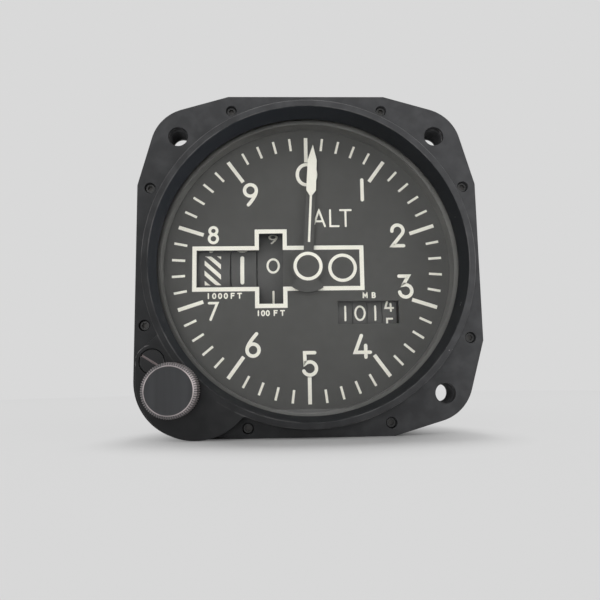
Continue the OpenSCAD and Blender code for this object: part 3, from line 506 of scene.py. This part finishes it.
def arc(cx, cy, rx, ry, start, end, n=26):
    """Points on an ellipse between two angles in degrees."""
    out = []
    for i in range(n + 1):
        a = math.radians(start + (end - start) * i / n)
        out.append((cx + rx * math.cos(a), cy + ry * math.sin(a)))
    return out


def bend(p, q, r, n=14):
    """Points on a quadratic curve from p to r that leaves towards q."""
    out = []
    for i in range(n + 1):
        t = i / n
        weights = ((1 - t) ** 2, 2 * t * (1 - t), t * t)
        out.append(tuple(sum(w * c for w, c in zip(weights, cs)) for cs in zip(p, q, r)))
    return out


def ring(cx, cy, rx, ry, n=48):
    """A closed stroke round an ellipse."""
    return (arc(cx, cy, rx, ry, 0, 360 - 360 / n, n - 1), True)


def line(*points):
    """An open stroke."""
    return (list(points), False)


FIGURES = {
    "0": [ring(0, 0, 0.42, 0.5)],
    "1": [line((0, 0.5), (0, -0.5))],
    "2": [line(*arc(0, 0.234, 0.266, 0.266, 186, -38), (-0.266, -0.5), (0.266, -0.5))],
    "3": [
        line(
            (-0.293, 0.5), (0.15, 0.5), (-0.115, 0.063), *arc(0, -0.207, 0.293, 0.293, 110, -170)
        )
    ],
    "4": [
        line((-0.049, 0.5), (-0.351, -0.276), (0.351, -0.276)),
        line((0.14, 0.038), (0.14, -0.5)),
    ],
    "5": [
        line((0.226, 0.5), (-0.226, 0.5), (-0.212, 0.0), *arc(0, -0.206, 0.294, 0.294, 134, -158))
    ],
    "6": [
        ring(0, -0.23, 0.27, 0.27),
        line(*bend((-0.27, -0.23), (-0.27, 0.02), (0.162, 0.5))),
    ],
    "7": [line((-0.248, 0.5), (0.248, 0.5), (-0.15, -0.5))],
    "8": [ring(0, 0.271, 0.229, 0.229), ring(0, -0.236, 0.264, 0.264)],
    "9": [
        ring(0, 0.216, 0.284, 0.284),
        line(*bend((0.284, 0.216), (0.284, -0.06), (-0.1, -0.5))),
    ],
    "A": [line((-0.36, -0.5), (0, 0.5), (0.36, -0.5)), line((-0.23, -0.19), (0.23, -0.19))],
    "B": [
        line((-0.28, 0.5), (0.04, 0.5), *arc(0.04, 0.25, 0.22, 0.25, 90, -90), (-0.28, 0)),
        line((-0.28, 0), (0.06, 0), *arc(0.06, -0.25, 0.24, 0.25, 90, -90), (-0.28, -0.5)),
        line((-0.28, -0.5), (-0.28, 0.5)),
    ],
    "F": [line((0.26, 0.5), (-0.26, 0.5), (-0.26, -0.5)), line((-0.26, 0.04), (0.18, 0.04))],
    "L": [line((-0.26, 0.5), (-0.26, -0.5), (0.26, -0.5))],
    "M": [line((-0.4, -0.5), (-0.4, 0.5), (0, -0.2), (0.4, 0.5), (0.4, -0.5))],
    "T": [line((-0.33, 0.5), (0.33, 0.5)), line((0, 0.5), (0, -0.5))],
}


def denser(points, closed, step):
    """The same line with points no further apart than step."""
    out = []
    ends = points[1:] + points[:1] if closed else points[1:]
    for p, q in zip(points, ends):
        n = max(1, math.ceil(math.dist(p, q) / step))
        out += [(p[0] + (q[0] - p[0]) * i / n, p[1] + (q[1] - p[1]) * i / n) for i in range(n)]
    return out if closed else out + [points[-1]]


def sides(points, closed, half):
    """Points to the left and right of a line, mitred at its corners."""
    left = []
    right = []
    count = len(points)
    for i, p in enumerate(points):
        a = points[i - 1] if closed or i else p
        b = points[(i + 1) % count] if closed or i < count - 1 else p
        before = Vector(p) - Vector(a)
        after = Vector(b) - Vector(p)
        before = before.normalized() if before.length else after.normalized()
        after = after.normalized() if after.length else before
        along = (before + after).normalized() if (before + after).length > 1e-6 else after
        across = Vector((-along.y, along.x))
        reach = half / max(0.5, across.dot(Vector((-after.y, after.x))))
        left.append(Vector(p) + across * reach)
        right.append(Vector(p) - across * reach)
    return left, right


def round_end(centre, start, n=8):
    """Points on the half circle that starts at a point and ends opposite it."""
    centre = Vector(centre)
    spoke = start - centre
    return [centre + Matrix.Rotation(math.pi * k / n, 2) @ spoke for k in range(1, n)]


def stroke(bm, points, closed, width, to_surface, height):
    """A printed line: a low solid ribbon with round ends, laid on a surface."""
    left, right = sides(points, closed, width / 2)
    count = len(points)
    if closed:
        rims = [right, left[::-1]]
    else:
        last = round_end(points[-1], right[-1])
        first = round_end(points[0], left[0])
        rims = [right + last + left[::-1] + first]

    def laid(line, h):
        return [bm.verts.new(to_surface(p.x, p.y, h)) for p in line]

    low_rims = [laid(rim, 0.0) for rim in rims]
    high_rims = [laid(rim, height) for rim in rims]
    for low, high in zip(low_rims, high_rims):
        for i in range(len(low)):
            j = (i + 1) % len(low)
            bm.faces.new((low[i], low[j], high[j], high[i]))
    for layer, top in ((low_rims, False), (high_rims, True)):
        if closed:
            rights = layer[0]
            lefts = layer[1][::-1]
            faces = []
        else:
            cut = count + len(last)
            rights = layer[0][:count]
            lefts = layer[0][cut : cut + count][::-1]
            faces = [layer[0][count - 1 : cut + 1], [lefts[0], *layer[0][cut + count :], rights[0]]]
        for i in range(count if closed else count - 1):
            j = (i + 1) % count
            faces.append([lefts[i], rights[i], rights[j], lefts[j]])
        for face in faces:
            bm.faces.new(face if top else face[::-1])


def figure(bm, sign, at, size, width, to_surface, wide=1.0, step=0.6):
    """One numeral or letter, centred on a point; size is its full height."""
    tall = size - width
    for k, (points, closed) in enumerate(FIGURES[sign]):
        placed = [(at[0] + x * tall * wide, at[1] + y * tall) for x, y in points]
        height = PRINT + OVERPRINT * k
        stroke(bm, denser(placed, closed, step), closed, width, to_surface, height)


def on_dial(x, z, h):
    return Vector((x, DIAL_Y - h, z)) * MM


def on_drum(axis_y, axis_z, radius):
    """Wraps x and an arc length along the rim, upwards from the front, on to a drum."""

    def place(x, s, h):
        a = s / radius
        r = radius + h
        return Vector((x, axis_y - r * math.cos(a), axis_z + r * math.sin(a))) * MM

    return place


# Threads in the mounting holes and in the static fitting


def thread(bm, x, z, wall_r, y0, y1, pitch, height, steps=40):
    """A helical ridge on a round wall; a negative height stands inwards."""
    count = round((y1 - y0 - pitch) / pitch * steps)
    rows = []
    for i in range(count + 1):
        a = 2 * math.pi * i / steps
        y = y0 + pitch * i / steps
        grow = min(1.0, i / steps, (count - i) / steps)
        row = []
        for dy, h in ((0.0, -0.03), (0.45, grow), (0.55, grow), (1.0, -0.03)):
            r = wall_r + height * h
            at = Vector((x + r * math.cos(a), y + dy * pitch, z + r * math.sin(a)))
            row.append(bm.verts.new(at * MM))
        rows.append(row)
    for low, high in zip(rows, rows[1:]):
        for k in range(4):
            n = (k + 1) % 4
            bm.faces.new((low[k], low[n], high[n], high[k]))
    bm.faces.new(rows[0][::-1])
    bm.faces.new(rows[-1])
    bmesh.ops.recalc_face_normals(bm, faces=bm.faces)


# Each thread: where it starts and ends along its hole, its pitch and its height
MOUNT_THREAD = (0.5, FLANGE_BACK - 0.3, 0.8, -0.3)
PORT_THREAD = (COVER_BACK + 2, COVER_BACK + 11.7, 0.9, -0.35)
bm = bmesh.new()
for side_x, side_z in ((-1, 1), (1, 1), (1, -1)):
    thread(bm, side_x * MOUNT, side_z * MOUNT, MOUNT_R, *MOUNT_THREAD)
piece("mount_threads", bm, "instrument", "black_paint")
bm = bmesh.new()
thread(bm, PORT_AT.x, PORT_AT.z, PORT_R, *PORT_THREAD)
piece("port_thread", bm, "instrument", slot_of["static_fitting"])


# Print on the dial

# Numerals: sign, centre, height, stroke, width factor
bm = bmesh.new()
for sign, at, size, width, wide in (
    ("0", (0.1, 24.0), 6.2, 0.86, 1.05),
    ("1", (14.2, 19.95), 6.1, 0.86, 1.0),
    ("2", (22.9, 8.0), 6.2, 0.86, 1.0),
    ("3", (24.4, -5.1), 6.15, 0.86, 1.0),
    ("4", (13.2, -19.9), 6.15, 0.86, 1.0),
    ("5", (0.1, -24.0), 6.3, 0.86, 1.0),
    ("6", (-13.75, -19.2), 6.3, 0.86, 1.0),
    ("7", (-23.5, -10.8), 4.7, 0.62, 1.0),
    ("8", (-23.5, 8.4), 4.65, 0.7, 1.0),
    ("9", (-14.2, 18.8), 6.1, 0.86, 1.0),
):
    figure(bm, sign, at, size, width, on_dial, wide)
piece("dial_numerals", bm, "instrument", "cream_paint")

# Large word: its letters have places of their own
WORD_Z = 12.58
WORD_SIZE = 4.65
WORD_STROKE = 0.5
WORD_WIDE = 0.98
bm = bmesh.new()
for sign, x in (("A", 3.06), ("L", 6.95), ("T", 9.8)):
    figure(bm, sign, (x, WORD_Z), WORD_SIZE, WORD_STROKE, on_dial, WORD_WIDE)

# Small words: letters, first letter's x, pitch, z, width factor
LABEL_SIZE = 1.5
LABEL_STROKE = 0.33
LABEL_STEP = 0.3
for word, first, pitch, z, wide in (
    ("1000", -24.69, 1.437, -7.0, 0.72),
    ("FT", -18.69, 1.68, -7.0, 1.15),
    ("100", -12.39, 1.16, -11.4, 0.72),
    ("FT", -8.12, 1.68, -11.4, 1.15),
    ("MB", 14.2, 2.12, -7.19, 1.0),
):
    for i, sign in enumerate(word):
        at = (first + pitch * i, z)
        figure(bm, sign, at, LABEL_SIZE, LABEL_STROKE, on_dial, wide, LABEL_STEP)
piece("dial_words", bm, "instrument", "cream_paint")


# Print on the drums

HATCH_X = (-25.9, -21.8)
HATCH_Z = (-3.95, 3.5)
HATCH_STRIPES = {"period": 2.6, "band": 1.25, "offset": -1.5, "slope": 0.9}
BARO_SIZE = 3.95
BARO_STROKE = 0.5
BARO_WIDE = 0.82


def drum_figures(place, radius, x, size, width, wide, now, offset, skip=()):
    """Ten figures round a drum; the one that shows sits at an arc offset from the front."""
    bm = bmesh.new()
    pitch = 2 * math.pi * radius / 10
    for digit in range(10):
        if digit in skip:
            continue
        steps = (digit - now + 5) % 10 - 5
        figure(bm, str(digit), (x, offset - steps * pitch), size, width, place, wide, 0.4)
    return bm


def hatch(bm, place, xs, zs, period, band, offset, slope):
    """Stripes that fall to the right, cut to a field on a drum."""
    columns = 8
    for k in range(-2, 4):
        top = offset + k * period
        rows = []
        for i in range(columns + 1):
            x = xs[0] + (xs[1] - xs[0]) * i / columns
            fall = slope * (x - xs[0])
            hi = min(zs[1], max(zs[0], zs[1] - top - fall))
            lo = min(zs[1], max(zs[0], zs[1] - top - band - fall))
            rows.append((x, lo, hi))
        for (xa, la, ha), (xb, lb, hb) in zip(rows, rows[1:]):
            if ha - la < 1e-6 and hb - lb < 1e-6:
                continue
            corners = [(xa, la), (xb, lb), (xb, hb), (xa, ha)]
            corners = [c for i, c in enumerate(corners) if c != corners[i - 1]]
            low = [bm.verts.new(place(*c, 0.0)) for c in corners]
            high = [bm.verts.new(place(*c, PRINT)) for c in corners]
            bm.faces.new(high)
            bm.faces.new(low[::-1])
            for i in range(len(corners)):
                j = (i + 1) % len(corners)
                bm.faces.new((low[i], low[j], high[j], high[i]))


# Altitude drums: x, height, stroke, width factor, the figure that shows and its offset
alt_place = on_drum(DRUM_Y, 0, DRUM_R)
for drum, skip, look in (
    ("hundreds", (), (-8.65, 4.0, 0.55, 0.98, 0, 0.85)),
    ("thousands", (), (-16.45, 7.3, 1.0, 0.85, 1, -0.17)),
    ("ten_thousands", (0,), (-23.85, 7.3, 1.0, 0.85, 0, -0.2)),
):
    bm = drum_figures(alt_place, DRUM_R, *look, skip)
    if drum == "ten_thousands":
        # A hatched field stands in for its 0
        hatch(bm, alt_place, HATCH_X, HATCH_Z, **HATCH_STRIPES)
    piece(f"{drum}_figures", bm, drum, "cream_paint")

# Pressure drums: the units drum stands between two figures
UNITS_TURN = 14.6
baro_place = on_drum(BARO_Y, BARO_Z, BARO_R)
for drum, x, now, offset in (
    ("thousands", 9.36, 1, 0.0),
    ("hundreds", 13.05, 0, 0.0),
    ("tens", 16.93, 1, 0.0),
    ("units", 20.5, 4, math.radians(UNITS_TURN) * BARO_R),
):
    bm = drum_figures(baro_place, BARO_R, x, BARO_SIZE, BARO_STROKE, BARO_WIDE, now, offset)
    piece(f"baro_{drum}_figures", bm, f"baro_{drum}", "cream_paint")


# Rounded edges on the parts that show outside
dressed("bezel", "bezel_casting", 0.12, BEZEL)
dressed("case", "case_shell", 0.3)
dressed("rear_cover", "rear_plate_cover", 0.3, beyond=COVER_R - 0.1)
dressed("baro_knob", "setting_knob", 0.06, KNOB, 20)


# Stage, in metres

BACKDROP = 0.694
FLOOR = 0.53
FLOOR_FRONT = -0.13
FLOOR_BACK = 2.5
FLOOR_SIDE = 2.5
FOOT = (0.05, 0.042)
FLOOR_MIDDLE_Y = 0.05
FAR_FADE = (0.1, 0.45)

scene = bpy.context.scene
scene.view_settings.view_transform = "Standard"


def grey(level):
    return (level, level, level, 1)


# Pale floor that ends in front of the part
mesh = bpy.data.meshes.new("floor")
z = FLOOR_Z * MM
corners = [
    (-FLOOR_SIDE, FLOOR_FRONT, z),
    (FLOOR_SIDE, FLOOR_FRONT, z),
    (FLOOR_SIDE, FLOOR_BACK, z),
    (-FLOOR_SIDE, FLOOR_BACK, z),
]
mesh.from_pydata(corners, [], [(0, 1, 2, 3)])
floor = bpy.data.objects.new("floor", mesh)
scene.collection.objects.link(floor)

# Its paper shows the shadow round the part's foot, and further off takes the backdrop's tone
floor_mat = bpy.data.materials.new("floor")
floor.data.materials.append(floor_mat)
g = Graph(floor_mat)
paper = g.nodes["Principled BSDF"]
paper.inputs["Base Color"].default_value = grey(FLOOR)
paper.inputs["Roughness"].default_value = 1.0
paper.inputs["Specular IOR Level"].default_value = 0.0
glow = g.nodes.new("ShaderNodeEmission")
glow.inputs["Color"].default_value = grey(BACKDROP)
at = g.coords("Object")
far = g.ramp(g.vector("DISTANCE", at, (0, FLOOR_MIDDLE_Y, z)), *FAR_FADE)
foot = g.vector("MULTIPLY", at, (1 / FOOT[0], 1 / FOOT[1], 0))
off_foot = g.ramp(g.vector("LENGTH", foot), 0.4, 1.0, 0.05, 0.86)
share = g.times(g.seen_directly(), g.most(off_foot, far))
surface = g.mix(share, paper.outputs["BSDF"], glow.outputs["Emission"])
g.links.new(surface, g.nodes["Material Output"].inputs["Surface"])

# World: the backdrop's tone, but for gloss and glass the room in front of the part is dim
world = bpy.data.worlds.new("studio")
scene.world = world
g = Graph(world)
backdrop = g.nodes["Background"]
backdrop.inputs["Color"].default_value = grey(BACKDROP)
room = g.nodes.new("ShaderNodeBackground")
room.inputs["Color"].default_value = grey(1)
frontward = g.vector("DOT_PRODUCT", g.coords("Generated"), (0.0, -1.0, 0.0))
g.feed(g.ramp(frontward, 0.3, 0.9, 0.62, 0.2, "SMOOTHSTEP"), room.inputs["Strength"])
behind = g.ramp(frontward, 0.1, 0.4, 1.0, 0.0)
pale = g.most(g.ray("Camera"), g.times(g.seen_directly(), behind))
surface = g.mix(pale, room.outputs["Background"], backdrop.outputs["Background"])
g.links.new(surface, g.nodes["World Output"].inputs["Surface"])


# Lamps


def lamp(name, at, size, power):
    """A round lamp that points at the part."""
    data = bpy.data.lights.new(name, "AREA")
    data.shape = "DISK"
    data.size = size
    data.energy = power
    obj = bpy.data.objects.new(name, data)
    obj.location = at
    obj.rotation_euler = (LAMP_AIM - Vector(at)).to_track_quat("-Z", "Y").to_euler()
    scene.collection.objects.link(obj)
    return obj


LAMP_AIM = Vector((0, 0.03, 0))
front = lamp("front", (-0.18, -1.0, -0.03), 0.5, 5.8)
front.visible_glossy = False
front.visible_transmission = False
lamp("key", (-0.4, -0.75, 0.6), 0.45, 1.6)
lamp("fill", (0.7, -0.6, 0.3), 0.8, 2.6)
lamp("top", (0.05, 0.22, 1.0), 0.25, 5.5)

# Camera at the photograph's place, in the frame of the part
RIGHT = Vector((0.99931, -0.03379, -0.01547))
UP = Vector((0.01087, -0.13227, 0.99115))
FORWARD = Vector((0.03553, 0.99064, 0.13181))
EYE_AT = Vector((-7.35, -140.64, -27.83))
eye = bpy.data.cameras.new("camera")
eye.sensor_width = 36
eye.lens = 36
eye.clip_start = 0.01
camera = bpy.data.objects.new("camera", eye)
turn = Matrix((RIGHT, UP, -FORWARD)).transposed().to_4x4()
camera.matrix_world = Matrix.Translation(EYE_AT * MM) @ turn
scene.collection.objects.link(camera)
scene.camera = camera

bpy.context.view_layer.update()
